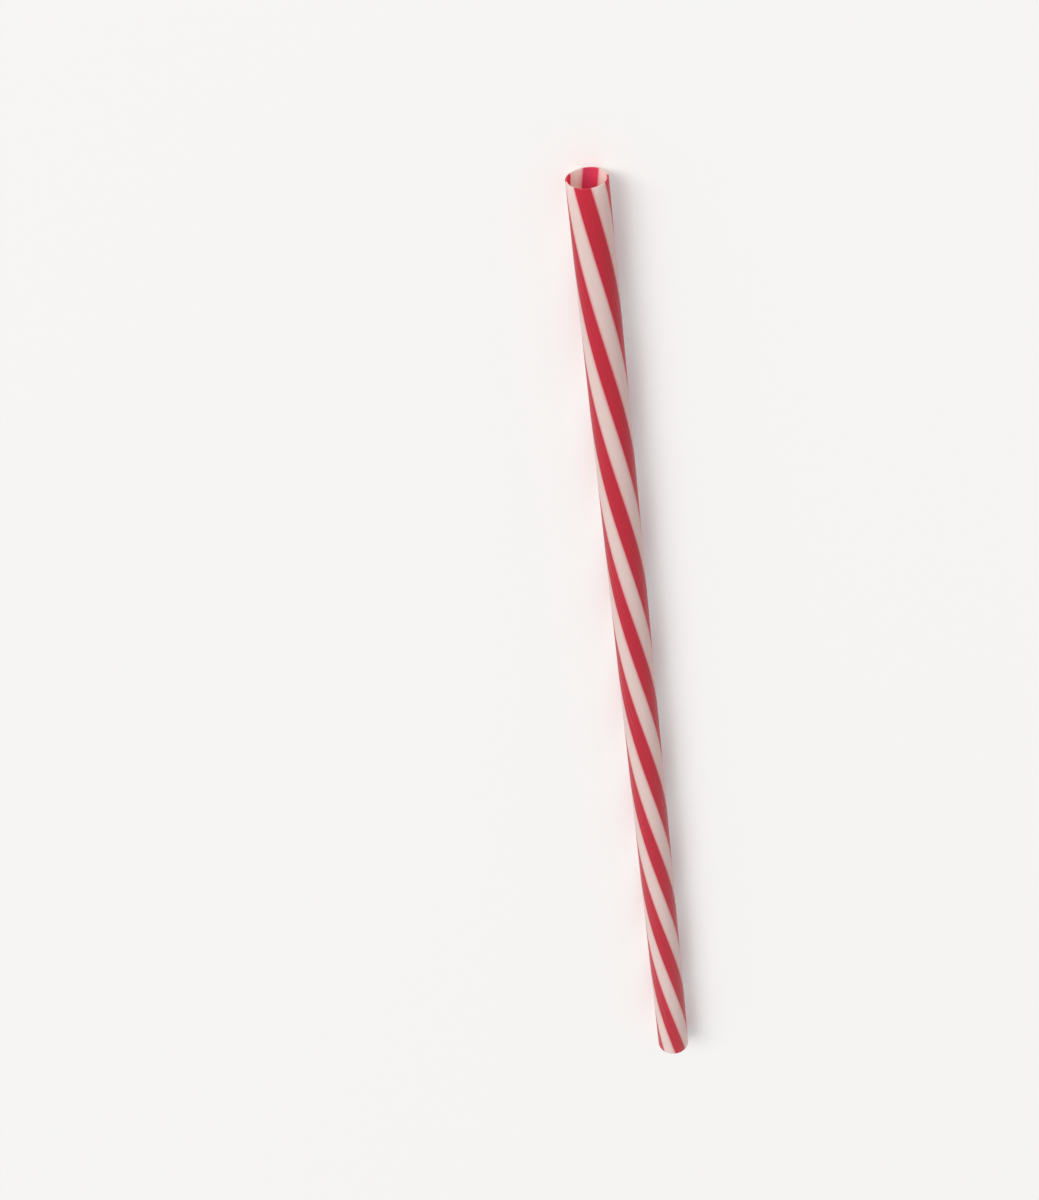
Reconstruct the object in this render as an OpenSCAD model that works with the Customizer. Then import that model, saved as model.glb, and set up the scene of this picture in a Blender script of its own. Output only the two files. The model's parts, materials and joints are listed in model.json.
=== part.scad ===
// Straight drinking straw: one extruded plastic tube with square-cut ends.
// It lies along X on the plane z = 0, with its mouth end towards +X.

/* [Tube] */
// Length from one cut end to the other
straw_length = 230; // [100:5:300]
// Outside diameter
outer_d = 7; // [4:0.5:14]
// Wall thickness
wall = 0.3; // [0.2:0.05:1]
// Depth of the slight flat along the line on which the thin wall lies
rest_flat = 0.06; // [0.03:0.01:0.1]

/* [Cut ends] */
// Width of the small bevel that the cut leaves on each rim edge
edge_break = 0.04; // [0.02:0.01:0.08]

/* [Hidden] */
// Outside radius
outer_r = outer_d / 2;
// Radius of the bore
bore_r = outer_r - wall;
// Height of the axis when the straw lies on its flat
axis_height = outer_r - rest_flat;
// How far a cut runs past the tube at each end
overrun = 1;
// Red of the coloured stripes
stripe_red = "#bb2e3d";
// Sides of a circle on screen
$fn = 96;

// Half section of the tube wall: radius first, height along the tube second
module wall_section() {
    polygon([
        [bore_r + edge_break, 0],
        [outer_r - edge_break, 0],
        [outer_r, edge_break],
        [outer_r, straw_length - edge_break],
        [outer_r - edge_break, straw_length],
        [bore_r + edge_break, straw_length],
        [bore_r, straw_length - edge_break],
        [bore_r, edge_break]
    ]);
}

// The tube, turned about its axis and laid along X
module lying_tube() {
    translate([-straw_length / 2, 0, axis_height])
        rotate([0, 90, 0])
            rotate_extrude() wall_section();
}

// All that lies below the surface that the straw rests on
module below_surface() {
    translate([-straw_length / 2 - overrun, -outer_r, -outer_r])
        cube([straw_length + 2 * overrun, outer_d, outer_r]);
}

// The whole straw
module straw() {
    color(stripe_red)
        difference() {
            lying_tube();
            below_surface();
        }
}

straw();
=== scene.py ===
"""A striped drinking straw that lies on a pale floor, seen from above its mouth end."""

import json
import logging
import math
from dataclasses import dataclass
from enum import Enum
from typing import Any, Self

import bmesh
import bpy
from mathutils import Matrix, Vector


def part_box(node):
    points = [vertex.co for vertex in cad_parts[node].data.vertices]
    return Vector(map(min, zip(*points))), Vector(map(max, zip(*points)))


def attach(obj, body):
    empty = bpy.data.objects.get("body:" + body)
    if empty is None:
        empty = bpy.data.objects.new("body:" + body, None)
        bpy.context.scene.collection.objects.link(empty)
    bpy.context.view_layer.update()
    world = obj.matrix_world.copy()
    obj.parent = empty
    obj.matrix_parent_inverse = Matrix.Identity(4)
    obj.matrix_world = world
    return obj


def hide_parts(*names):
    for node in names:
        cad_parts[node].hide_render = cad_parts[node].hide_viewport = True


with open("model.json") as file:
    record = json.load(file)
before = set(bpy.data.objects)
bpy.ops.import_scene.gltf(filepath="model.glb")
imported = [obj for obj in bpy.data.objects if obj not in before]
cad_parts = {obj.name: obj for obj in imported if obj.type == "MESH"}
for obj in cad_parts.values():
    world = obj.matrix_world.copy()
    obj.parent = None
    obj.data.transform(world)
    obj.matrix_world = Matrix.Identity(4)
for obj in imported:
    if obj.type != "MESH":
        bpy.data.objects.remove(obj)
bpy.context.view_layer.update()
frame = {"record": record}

LOG = logging.getLogger("straw_scene")

Colour = tuple[float, float, float]
MM_PER_M = 1000.0
HALF = 0.5
FULL_TURN = math.tau
QUARTER_TURN = math.pi * HALF
OPAQUE = 1.0


class CutEnd(Enum):
    """The two cut ends of the straw, by the side of the frame that each faces."""

    MOUTH = 1.0
    FOOT = -1.0


class SeenBy(Enum):
    """Kinds of ray that see a white surround, by their Light Path output."""

    CAMERA = "Is Camera Ray"
    GLOSSY = "Is Glossy Ray"
    TRANSMISSION = "Is Transmission Ray"


class Signal:
    """A value socket of a node tree, with which Python expressions add Math nodes."""

    def __init__(self, sheet: "NodeSheet", socket: bpy.types.NodeSocket) -> None:
        """Keep the socket and the sheet that it belongs to.

        Args:
            sheet: The sheet that new nodes are added to.
            socket: The output socket that holds the value.
        """
        self.sheet = sheet
        self.socket = socket

    def math(self, operation: str, *others: Any) -> Self:
        """Feed this value to a Math node.

        Args:
            operation: The node's operation.
            others: The node's further inputs, as numbers or signals.

        Returns:
            The node's result.
        """
        values = dict(enumerate((self, *others)))
        return self.sheet.node("ShaderNodeMath", {"operation": operation}, values).value()

    def reflected(self, operation: str, first: float) -> Self:
        """Put a number first in a Math node and this value second.

        Args:
            operation: The node's operation.
            first: The number.

        Returns:
            The node's result.
        """
        values = dict(enumerate((first, self)))
        return self.sheet.node("ShaderNodeMath", {"operation": operation}, values).value()

    def __add__(self, other: Any) -> Self:
        """Sum of this value and another."""
        return self.math("ADD", other)

    def __radd__(self, other: float) -> Self:
        """Sum of a number and this value."""
        return self.math("ADD", other)

    def __sub__(self, other: Any) -> Self:
        """This value less another."""
        return self.math("SUBTRACT", other)

    def __rsub__(self, other: float) -> Self:
        """A number less this value."""
        return self.reflected("SUBTRACT", other)

    def __mul__(self, other: Any) -> Self:
        """Product of this value and another."""
        return self.math("MULTIPLY", other)

    def __rmul__(self, other: float) -> Self:
        """Product of a number and this value."""
        return self.math("MULTIPLY", other)

    def __truediv__(self, other: Any) -> Self:
        """This value over another."""
        return self.math("DIVIDE", other)

    def __rtruediv__(self, other: float) -> Self:
        """A number over this value."""
        return self.reflected("DIVIDE", other)

    def __abs__(self) -> Self:
        """Size of this value without its sign."""
        return self.math("ABSOLUTE")

    def fraction(self) -> Self:
        """Part of this value past its whole number."""
        return self.math("FRACT")

    def rise(self, start: float, end: float) -> Self:
        """Smooth step of this value.

        Args:
            start: Where the step leaves 0.
            end: Where it reaches 1.

        Returns:
            A value from 0 to 1.
        """
        settings = {"interpolation_type": "SMOOTHSTEP"}
        limits = {"Value": self, "From Min": start, "From Max": end}
        return self.sheet.node("ShaderNodeMapRange", settings, limits).value()


class MadeNode:
    """A node that is set and linked, with short ways to its outputs."""

    def __init__(self, sheet: "NodeSheet", node: bpy.types.Node) -> None:
        """Keep the node and the sheet that it belongs to.

        Args:
            sheet: The sheet that the node is on.
            node: The node.
        """
        self.sheet = sheet
        self.node = node

    def value(self, output: str | int = 0) -> Signal:
        """One output as a value for expressions.

        Args:
            output: The output's name or place.

        Returns:
            The output, wrapped.
        """
        return Signal(self.sheet, self.node.outputs[output])

    def socket(self, output: str | int = 0) -> bpy.types.NodeSocket:
        """One output as a bare socket, for colours, vectors and shaders."""
        return self.node.outputs[output]


class NodeSheet:
    """The node tree of a material or a world."""

    MIX_RESULT = 2

    def __init__(self, owner: bpy.types.Material | bpy.types.World) -> None:
        """Turn nodes on and clear the tree.

        Args:
            owner: The material or world that has the tree.
        """
        owner.use_nodes = True
        self.tree = owner.node_tree
        self.tree.nodes.clear()

    def node(
        self, kind: str, settings: dict[str, Any] | None = None, inputs: dict[Any, Any] | None = None
    ) -> MadeNode:
        """Add a node, set it and feed its inputs.

        Args:
            kind: The node's type.
            settings: Properties to set first.
            inputs: Values or links by an input's identifier, name or place.

        Returns:
            The node, wrapped.
        """
        node = self.tree.nodes.new(kind)
        for name, setting in (settings or {}).items():
            setattr(node, name, setting)
        for key, given in (inputs or {}).items():
            self.feed(self.entry(node, key), given)
        return MadeNode(self, node)

    def entry(self, node: bpy.types.Node, key: str | int) -> bpy.types.NodeSocket:
        """Find an input of a node.

        Args:
            node: The node.
            key: The input's identifier, name or place.

        Returns:
            The input socket.
        """
        by_identifier = {socket.identifier: socket for socket in node.inputs}
        return by_identifier.get(key) or node.inputs[key]

    def feed(self, entry: bpy.types.NodeSocket, given: Any) -> None:
        """Link a socket to an input, or set the input's own value.

        Args:
            entry: The input socket.
            given: A signal, a socket, a number, a colour or a vector.
        """
        if isinstance(given, Signal):
            self.tree.links.new(given.socket, entry)
        elif isinstance(given, bpy.types.NodeSocket):
            self.tree.links.new(given, entry)
        elif entry.type == "RGBA":
            entry.default_value = (*given, OPAQUE)
        else:
            entry.default_value = given

    def blend(self, share: Signal, first: Any, second: Any) -> bpy.types.NodeSocket:
        """Mix two colours.

        Args:
            share: How much of the second colour shows.
            first: A colour or a colour socket.
            second: A colour or a colour socket.

        Returns:
            The mixed colour.
        """
        inputs = {"Factor_Float": share, "A_Color": first, "B_Color": second}
        mixer = self.node("ShaderNodeMix", {"data_type": "RGBA"}, inputs)
        return mixer.socket(self.MIX_RESULT)

    def noise(self, place: bpy.types.NodeSocket, scale: float, detail: float) -> Signal:
        """Smooth noise over a place vector.

        Args:
            place: The vector that the noise reads.
            scale: Features in each unit of that vector.
            detail: Octaves of finer noise.

        Returns:
            The noise, about 0 to 1.
        """
        inputs = {"Vector": place, "Scale": scale, "Detail": detail}
        return self.node("ShaderNodeTexNoise", {"noise_dimensions": "3D"}, inputs).value("Fac")

    def any_ray(self, kinds: type[SeenBy]) -> Signal:
        """Whether the ray is one of some kinds.

        Args:
            kinds: The kinds of ray.

        Returns:
            1 for such a ray, else 0.
        """
        path = self.node("ShaderNodeLightPath")
        seen, *others = (path.value(kind.value) for kind in kinds)
        for other in others:
            seen = seen.math("MAXIMUM", other)
        return seen

    def mix_shaders(
        self, share: Signal, first: bpy.types.NodeSocket, second: bpy.types.NodeSocket
    ) -> bpy.types.NodeSocket:
        """Mix two shaders.

        Args:
            share: How much of the second shader shows.
            first: A shader.
            second: A shader.

        Returns:
            The mixed shader.
        """
        inputs = {"Fac": share, "Shader": first, "Shader_001": second}
        return self.node("ShaderNodeMixShader", None, inputs).socket()


def deselect() -> None:
    """Leave edit mode and select nothing."""
    if bpy.context.object and bpy.context.object.mode != "OBJECT":
        bpy.ops.object.mode_set(mode="OBJECT")
    bpy.ops.object.select_all(action="DESELECT")


@dataclass(frozen=True)
class StripedPlastic:
    """Smooth extruded plastic whose coloured and natural stripes go through the wall.

    Lengths are in millimetres and colours are linear. The wall is thin enough to let some light
    through, and the bore lets more through than the outside does.
    """

    stripe_count: int = 4
    pitch: float = 123.4
    red_share: float = 0.497
    red_centre_deg: float = 15.3
    edge_blur: float = 0.16
    edge_wander: float = 0.20
    uneven_width: float = 0.07
    uneven_times: int = 2
    red: Colour = (0.555, 0.0235, 0.056)
    deep_red: Colour = (0.544, 0.0226, 0.054)
    # Painted light: the bore's red is painted lighter than the outside red, in place of the light that
    # reaches the bore through the wall.
    bore_red_with_painted_light: Colour = (0.97, 0.10, 0.24)
    natural: Colour = (0.93, 0.83, 0.79)
    milky: Colour = (0.922, 0.82, 0.778)
    blush: Colour = (0.90, 0.52, 0.52)
    blush_reach: float = 0.55
    stressed: Colour = (0.93, 0.80, 0.77)
    stressed_share: float = 0.15
    cut_depth: float = 0.05
    gloss_roughness: float = 0.27
    streak_roughness: float = 0.05
    cut_roughness: float = 0.55
    let_through: float = 0.35
    bore_let_through: float = 0.55
    red_light: Colour = (0.93, 0.065, 0.14)
    natural_light: Colour = (0.97, 0.89, 0.85)
    ior: float = 1.49
    specular_level: float = 0.42
    die_line_height: float = 0.002
    die_line_strength: float = 0.05
    streak_scale: float = 9.0
    streak_detail: float = 2.0
    streak_relief: float = 0.6
    fine_scale: float = 42.0
    fine_detail: float = 2.0
    fine_relief: float = 0.4
    wander_scale: float = 1.3
    wander_detail: float = 1.0
    streak_stretch: float = 0.006
    mottle_start: float = 0.30
    mottle_end: float = 0.80
    noise_middle: float = 0.5

    def material(self, straw: "Straw") -> bpy.types.Material:
        """Make the straw's material.

        Args:
            straw: The straw that wears it, for its sizes.

        Returns:
            The material.
        """
        made = bpy.data.materials.new("striped_plastic")
        sheet = NodeSheet(made)
        place = sheet.node("ShaderNodeTexCoord").socket("Object")
        axes = sheet.node("ShaderNodeSeparateXYZ", None, {"Vector": place})
        along, side, height = (axes.value(name) * MM_PER_M for name in "XYZ")
        above = height - straw.axis_height * MM_PER_M
        wound = self.wound_turn(straw, along, side, above)
        winding = self.winding_place(sheet, wound, along)
        streak = sheet.noise(winding, self.streak_scale, self.streak_detail)
        fine = sheet.noise(winding, self.fine_scale, self.fine_detail)
        wander = sheet.noise(winding, self.wander_scale, self.wander_detail) - self.noise_middle
        across = self.from_red_centre(straw, wound) + wander * self.edge_wander
        natural_share = self.natural_share(straw, across)
        cut = abs(along).rise(straw.half_length_mm - self.cut_depth, straw.half_length_mm)
        outside = self.outside_share(straw, side, above)
        colour = self.colour(sheet, straw, across, natural_share, outside, streak, cut)
        gloss = self.gloss_roughness + (streak - self.noise_middle) * self.streak_roughness
        roughness = gloss + cut * (self.cut_roughness - self.gloss_roughness)
        relief = {
            "Strength": self.die_line_strength,
            "Distance": self.die_line_height / MM_PER_M,
            "Height": streak * self.streak_relief + fine * self.fine_relief,
        }
        inputs = {
            "Base Color": colour,
            "Roughness": roughness,
            "IOR": self.ior,
            "Specular IOR Level": self.specular_level,
            "Normal": sheet.node("ShaderNodeBump", None, relief).socket("Normal"),
        }
        front = sheet.node("ShaderNodeBsdfPrincipled", None, inputs).socket("BSDF")
        through = self.through_light(sheet, natural_share)
        share = self.bore_let_through + outside * (self.let_through - self.bore_let_through)
        both = sheet.mix_shaders(share, front, through)
        sheet.node("ShaderNodeOutputMaterial", None, {"Surface": both})
        return made

    def through_light(self, sheet: NodeSheet, natural_share: Signal) -> bpy.types.NodeSocket:
        """Light that soaks through the thin wall, tinted by the stripe that it passes.

        Args:
            sheet: The material's nodes.
            natural_share: 0 in a red stripe, 1 in a natural one.

        Returns:
            The shader.
        """
        red = sheet.node("ShaderNodeBsdfTranslucent", None, {"Color": self.red_light}).socket()
        natural = sheet.node("ShaderNodeBsdfTranslucent", None, {"Color": self.natural_light}).socket()
        return sheet.mix_shaders(natural_share, red, natural)

    def wound_turn(self, straw: "Straw", along: Signal, side: Signal, above: Signal) -> Signal:
        """Turns round the axis, counted in a frame that winds with the stripes.

        Args:
            straw: The straw, for its mouth.
            along: Place along the straw, in mm.
            side: Place across it, in mm.
            above: Height over its axis, in mm.

        Returns:
            Turns, the same all along one stripe.
        """
        angle = side.math("ARCTAN2", above)
        return angle / FULL_TURN + (straw.half_length_mm - along) / self.pitch

    def winding_place(self, sheet: NodeSheet, wound: Signal, along: Signal) -> bpy.types.NodeSocket:
        """Vector on a unit circle that winds with the stripes, so that noise on it runs in streaks.

        Args:
            sheet: The material's nodes.
            wound: Turns in the winding frame.
            along: Place along the straw, in mm.

        Returns:
            The vector.
        """
        angle = wound * FULL_TURN
        parts = {"X": angle.math("COSINE"), "Y": angle.math("SINE"), "Z": along * self.streak_stretch}
        return sheet.node("ShaderNodeCombineXYZ", None, parts).socket("Vector")

    def from_red_centre(self, straw: "Straw", wound: Signal) -> Signal:
        """Distance round the straw from the middle of the nearest red stripe.

        It runs a little short on two of the stripes and long on the two between them, so that
        the stripes differ in width.

        Args:
            straw: The straw, for its girth.
            wound: Turns in the winding frame.

        Returns:
            The distance, in mm.
        """
        first_red = math.radians(self.red_centre_deg) / FULL_TURN
        turn = wound - first_red
        step = turn * self.stripe_count + HALF
        swing = (turn * (self.uneven_times * FULL_TURN)).math("COSINE") * self.uneven_width
        return abs(step.fraction() - HALF) * self.stripe_spacing(straw) - swing

    def outside_share(self, straw: "Straw", side: Signal, above: Signal) -> Signal:
        """Whether a place is on the outside of the wall or in the bore.

        The bore's red is painted brighter than the outside's, as painted light for the light that reaches
        the bore through the wall from all round.

        Args:
            straw: The straw, for its wall.
            side: Place across the straw, in mm.
            above: Height over its axis, in mm.

        Returns:
            0 in the bore, 1 on the outside, and between them on a cut end.
        """
        radius = (side * side + above * above).math("SQRT")
        return radius.rise(straw.bore_r * MM_PER_M, straw.outer_r * MM_PER_M)

    def stripe_spacing(self, straw: "Straw") -> float:
        """Distance round the straw from one red stripe to the next, in mm."""
        return FULL_TURN * straw.outer_r * MM_PER_M / self.stripe_count

    def red_edge(self, straw: "Straw") -> float:
        """Distance from the middle of a red stripe to its edge, in mm."""
        return self.red_share * self.stripe_spacing(straw) * HALF

    def natural_share(self, straw: "Straw", across: Signal) -> Signal:
        """How much of the natural plastic shows, with a soft edge.

        Args:
            straw: The straw, for its girth.
            across: Distance from the nearest red centre line, in mm.

        Returns:
            0 in a red stripe, 1 in a natural one.
        """
        edge = self.red_edge(straw)
        return across.rise(edge - self.edge_blur, edge + self.edge_blur)

    def colour(
        self,
        sheet: NodeSheet,
        straw: "Straw",
        across: Signal,
        natural_share: Signal,
        outside: Signal,
        streak: Signal,
        cut: Signal,
    ) -> bpy.types.NodeSocket:
        """Colour of the stripes, their soft edges and the cut ends, with painted light that makes the
        bore's red lighter.

        Args:
            sheet: The material's nodes.
            straw: The straw, for its girth.
            across: Distance from the nearest red centre line, in mm.
            natural_share: 0 in a red stripe, 1 in a natural one.
            outside: 0 in the bore, 1 on the outside.
            streak: Noise that runs along the stripes.
            cut: 1 on a cut end, else 0.

        Returns:
            The colour.
        """
        edge = self.red_edge(straw)
        mottle = streak.rise(self.mottle_start, self.mottle_end)
        # Painted light: in the bore the red is painted lighter than on the outside.
        red_with_painted_bore_light = sheet.blend(outside, self.bore_red_with_painted_light, sheet.blend(mottle, self.red, self.deep_red))
        resin = sheet.blend(mottle, self.natural, self.milky)
        blushed = sheet.blend(across.rise(edge, edge + self.blush_reach), self.blush, resin)
        striped = sheet.blend(natural_share, red_with_painted_bore_light, blushed)
        return sheet.blend(cut * self.stressed_share, striped, self.stressed)


@dataclass
class Straw:
    """The tube: one thin wall, open at both ends, that lies along X on the floor.

    Lengths are in metres.
    """

    length: float
    outer_r: float
    bore_r: float
    axis_height: float
    finish: StripedPlastic = StripedPlastic()
    name: str = "straw_tube"
    node: str = "straw"
    slot: str = "straw"
    body: str = "root"
    sides: int = 128
    ring_step: float = 0.002
    spare_length: float = 0.001
    cut_tilt_deg: float = 0.35
    rim_round: float = 0.00006
    rim_segments: int = 3
    smooth_angle_deg: float = 35.0
    wall_side: float = -1.0
    press_flat: tuple[float, float, float] = (1.0, 1.0, 0.0)

    @classmethod
    def from_frame(cls, record: dict[str, Any], node: str) -> Self:
        """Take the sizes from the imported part.

        Args:
            record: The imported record, which states the bore and the outside.
            node: The straw's node.

        Returns:
            A straw of those sizes.
        """
        low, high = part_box(node)
        mounts = {mount["name"]: mount for mount in record["mounts"]}
        *_, axis_height = mounts["outside"]["pos_m"]
        return cls(
            length=high.x - low.x,
            outer_r=mounts["outside"]["dims"]["r_mm"] / MM_PER_M,
            bore_r=mounts["bore"]["dims"]["r_mm"] / MM_PER_M,
            axis_height=axis_height,
        )

    @property
    def wall(self) -> float:
        """Thickness of the wall."""
        return self.outer_r - self.bore_r

    @property
    def diameter(self) -> float:
        """Outside diameter."""
        return self.outer_r / HALF

    @property
    def half_length(self) -> float:
        """Half of the length."""
        return self.length * HALF

    @property
    def half_length_mm(self) -> float:
        """Half of the length, in millimetres."""
        return self.length * MM_PER_M * HALF

    def build(self) -> bpy.types.Object:
        """Model the tube, dress it and tie it to the part.

        Returns:
            The finished tube.
        """
        tube = self.outside_skin()
        self.divide_length(tube)
        for end in CutEnd:
            self.trim(tube, end)
        self.thicken(tube)
        self.lay_down(tube)
        self.settle(tube)
        self.dress(tube)
        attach(tube, self.body)
        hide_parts(self.node)
        LOG.info("%s: %d faces, wall %.2f mm", tube.name, len(tube.data.polygons), self.wall * MM_PER_M)
        return tube

    def dress(self, tube: bpy.types.Object) -> None:
        """Put the finish on the tube."""
        tube.data.materials.append(self.finish.material(self))

    def outside_skin(self) -> bpy.types.Object:
        """Open cylinder along X, a little longer than the straw.

        Returns:
            The skin, round the frame's X axis.
        """
        deselect()
        bpy.ops.mesh.primitive_cylinder_add(
            vertices=self.sides,
            radius=self.outer_r,
            depth=self.length + self.spare_length,
            end_fill_type="NOTHING",
            rotation=(0.0, QUARTER_TURN, 0.0),
        )
        skin = bpy.context.object
        skin.name = self.name
        skin.data.name = self.name
        bpy.ops.object.transform_apply(location=True, rotation=True, scale=True)
        return skin

    def divide_length(self, tube: bpy.types.Object) -> None:
        """Cut the long side faces into short rings.

        Args:
            tube: The skin.
        """
        cuts = round((self.length - self.ring_step) / self.ring_step)
        bpy.ops.object.mode_set(mode="EDIT")
        bpy.ops.mesh.select_mode(type="EDGE")
        bpy.ops.mesh.select_all(action="DESELECT")
        shape = bmesh.from_edit_mesh(tube.data)
        for edge in shape.edges:
            first, second = (corner.co for corner in edge.verts)
            edge.select_set(abs(first.x - second.x) > self.half_length)
        bmesh.update_edit_mesh(tube.data)
        bpy.ops.mesh.subdivide(number_cuts=cuts)
        bpy.ops.object.mode_set(mode="OBJECT")

    def trim(self, tube: bpy.types.Object, end: CutEnd) -> None:
        """Cut one end to length with a blade that stands a little off square.

        Args:
            tube: The skin. Not used: the cut works on the active object.
            end: The end to cut.
        """
        tilt = math.radians(self.cut_tilt_deg)
        setback = self.outer_r * math.tan(tilt)
        bpy.ops.object.mode_set(mode="EDIT")
        bpy.ops.mesh.select_all(action="SELECT")
        bpy.ops.mesh.bisect(
            plane_co=(end.value * (self.half_length - setback), 0.0, 0.0),
            plane_no=(end.value * math.cos(tilt), 0.0, math.sin(tilt)),
            clear_outer=True,
        )
        bpy.ops.object.mode_set(mode="OBJECT")

    def thicken(self, tube: bpy.types.Object) -> None:
        """Give the skin its wall inwards, and round the four rim edges.

        Args:
            tube: The skin.
        """
        bpy.ops.object.mode_set(mode="EDIT")
        bpy.ops.mesh.select_all(action="SELECT")
        bpy.ops.mesh.remove_doubles(threshold=self.rim_round / MM_PER_M)
        bpy.ops.mesh.normals_make_consistent(inside=False)
        bpy.ops.object.mode_set(mode="OBJECT")
        wall = tube.modifiers.new("wall", "SOLIDIFY")
        wall.thickness = self.wall
        wall.offset = self.wall_side
        wall.use_even_offset = True
        rim = tube.modifiers.new("rim", "BEVEL")
        rim.width = self.rim_round
        rim.segments = self.rim_segments
        rim.limit_method = "ANGLE"
        for modifier in ("wall", "rim"):
            bpy.ops.object.modifier_apply(modifier=modifier)

    def lay_down(self, tube: bpy.types.Object) -> None:
        """Lift the tube to the height at which it lies.

        Args:
            tube: The tube. Not used: the lift works on the active object.
        """
        bpy.ops.object.mode_set(mode="EDIT")
        bpy.ops.mesh.select_all(action="SELECT")
        bpy.ops.transform.translate(value=(0.0, 0.0, self.axis_height))
        bpy.ops.object.mode_set(mode="OBJECT")

    def settle(self, tube: bpy.types.Object) -> None:
        """Press the lowest line of the tube flat on the floor, and smooth its round faces.

        Args:
            tube: The tube.
        """
        bpy.ops.object.mode_set(mode="EDIT")
        bpy.ops.mesh.select_mode(type="VERT")
        bpy.ops.mesh.select_all(action="DESELECT")
        shape = bmesh.from_edit_mesh(tube.data)
        for corner in shape.verts:
            corner.select_set(corner.co.z < 0.0)
        bmesh.update_edit_mesh(tube.data)
        bpy.ops.transform.resize(value=self.press_flat, center_override=(0.0, 0.0, 0.0))
        bpy.ops.object.mode_set(mode="OBJECT")
        bpy.ops.object.shade_smooth_by_angle(angle=math.radians(self.smooth_angle_deg))


@dataclass(frozen=True)
class PhotoView:
    """The photograph's frame, its lens and where the straw runs in it."""

    width_px: float = 1039.0
    height_px: float = 1200.0
    focal_px: float = 1960.0
    sensor_mm: float = 36.0
    mouth_px: tuple[float, float] = (586.9, 178.0)
    mouth_width_px: float = 44.2
    lower_px: tuple[float, float] = (646.5, 773.0)
    lower_width_px: float = 34.2
    nearest: float = 0.01
    furthest: float = 100.0
    ahead: float = -1.0

    def axis_point(self, pixel: tuple[float, float], seen_width: float, diameter: float) -> Vector:
        """Place of a point on the straw's axis, from how wide the straw looks there.

        Args:
            pixel: The point in the photograph.
            seen_width: The straw's width there, in pixels.
            diameter: The straw's outside diameter.

        Returns:
            The point in the camera's own frame.
        """
        across_px, down_px = pixel
        right = (across_px - self.width_px * HALF) / self.focal_px
        up = (self.height_px * HALF - down_px) / self.focal_px
        return Vector((right, up, self.ahead)) * (self.focal_px * diameter / seen_width)

    def pose(self, straw: Straw) -> Matrix:
        """Place of the camera over the lying straw.

        Args:
            straw: The straw that the camera looks at.

        Returns:
            The camera's transform, from which the straw looks as in the photograph.
        """
        mouth = self.axis_point(self.mouth_px, self.mouth_width_px, straw.diameter)
        lower = self.axis_point(self.lower_px, self.lower_width_px, straw.diameter)
        along = (mouth - lower).normalized()
        to_camera = along * straw.half_length - mouth
        up = (to_camera - along * to_camera.dot(along)).normalized()
        turn = Matrix((along, up.cross(along), up))
        mouth_place = Vector((straw.half_length, 0.0, straw.axis_height))
        return Matrix.Translation(mouth_place - turn @ mouth) @ turn.to_4x4()

    def build(self, straw: Straw) -> bpy.types.Object:
        """Add the camera.

        Args:
            straw: The straw that it looks at.

        Returns:
            The camera.
        """
        deselect()
        bpy.ops.object.camera_add()
        camera = bpy.context.object
        camera.name = "photo_camera"
        camera.matrix_world = self.pose(straw)
        camera.data.sensor_width = self.sensor_mm
        camera.data.lens = self.focal_px * self.sensor_mm / max(self.width_px, self.height_px)
        camera.data.clip_start = self.nearest
        camera.data.clip_end = self.furthest
        bpy.context.scene.camera = camera
        LOG.info("%s: lens %.1f mm at %s", camera.name, camera.data.lens, camera.matrix_world.translation)
        return camera


@dataclass(frozen=True)
class SoftLamp:
    """A large square lamp that points at the straw's middle."""

    name: str
    place: tuple[float, float, float]
    size: float
    watts: float
    colour: Colour

    def build(self) -> bpy.types.Object:
        """Add the lamp.

        Returns:
            The lamp.
        """
        deselect()
        aim = (-Vector(self.place)).to_track_quat("-Z", "Y").to_euler()
        bpy.ops.object.light_add(type="AREA", location=self.place, rotation=aim)
        lamp = bpy.context.object
        lamp.name = self.name
        lamp.data.size = self.size
        lamp.data.energy = self.watts
        lamp.data.color = self.colour
        lamp.visible_camera = False
        LOG.info("%s: %.1f W", lamp.name, self.watts)
        return lamp


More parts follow.
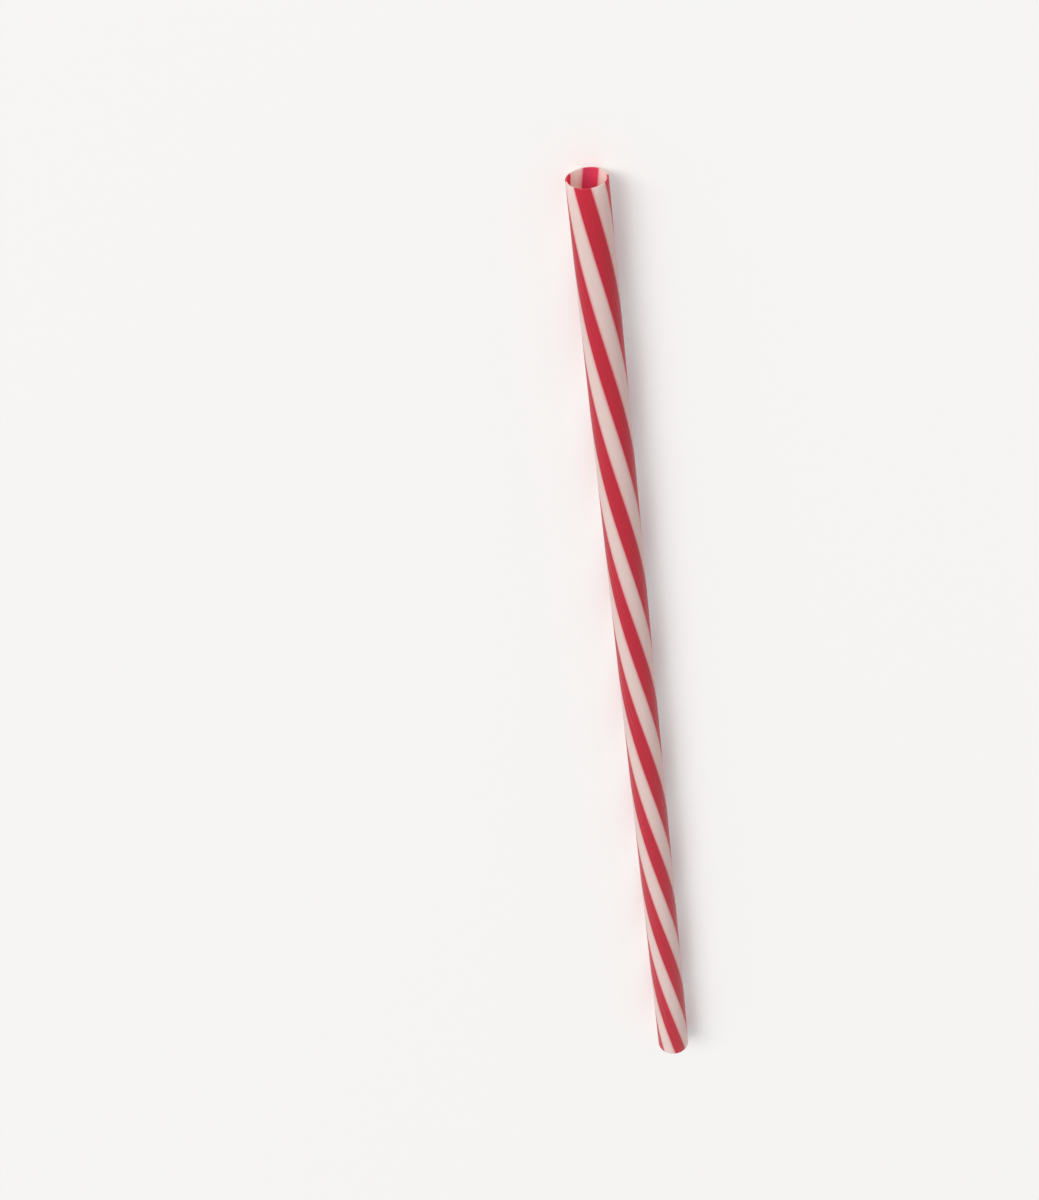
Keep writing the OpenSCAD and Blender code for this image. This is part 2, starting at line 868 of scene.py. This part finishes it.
@dataclass(frozen=True)
class Studio:
    """Pale floor, even air and one soft lamp."""

    floor_size: float = 40.0
    floor_paint: Colour = (0.86, 0.86, 0.86)
    floor_glow: float = 0.195
    air_level: float = 0.43
    seen_level: float = 1.0
    white: Colour = (1.0, 1.0, 1.0)
    key: SoftLamp = SoftLamp(
        name="key_lamp", place=(8.4, 8.4, 10.6), size=9.6, watts=1728.0, colour=(1.0, 0.98, 0.95)
    )

    def build(self) -> None:
        """Make the floor, the air and the lamp, and set how colours are shown."""
        bpy.context.scene.view_settings.view_transform = "Standard"
        self.air()
        self.floor()
        self.key.build()

    def air(self) -> None:
        """Light the scene from all round, with a white surround for what sees it."""
        world = bpy.data.worlds.new("studio_air")
        bpy.context.scene.world = world
        sheet = NodeSheet(world)
        seen = sheet.any_ray(SeenBy)
        level = self.air_level + seen * (self.seen_level - self.air_level)
        light = sheet.node("ShaderNodeBackground", None, {"Color": self.white, "Strength": level})
        sheet.node("ShaderNodeOutputWorld", None, {"Surface": light.socket()})

    def floor(self) -> bpy.types.Object:
        """Lay the floor, which shows nearly white and keeps the straw's shadow.

        Returns:
            The floor.
        """
        deselect()
        bpy.ops.mesh.primitive_plane_add(size=self.floor_size)
        floor = bpy.context.object
        floor.name = "studio_floor"
        paint = bpy.data.materials.new("floor_paint")
        sheet = NodeSheet(paint)
        matt = sheet.node("ShaderNodeBsdfDiffuse", None, {"Color": self.floor_paint})
        glow_level = sheet.any_ray(SeenBy) * self.floor_glow
        glow = sheet.node("ShaderNodeEmission", None, {"Color": self.white, "Strength": glow_level})
        shaders = {"Shader": matt.socket(), "Shader_001": glow.socket()}
        both = sheet.node("ShaderNodeAddShader", None, shaders)
        sheet.node("ShaderNodeOutputMaterial", None, {"Surface": both.socket()})
        floor.data.materials.append(paint)
        LOG.info("%s: %.0f m square", floor.name, self.floor_size)
        return floor


def main() -> None:
    """Build the straw, its camera and its studio."""
    logging.basicConfig(level=logging.INFO, format="%(name)s: %(message)s")
    straw = Straw.from_frame(frame["record"], Straw.node)
    straw.build()
    PhotoView().build(straw)
    Studio().build()


if __name__ == "__main__":
    main()
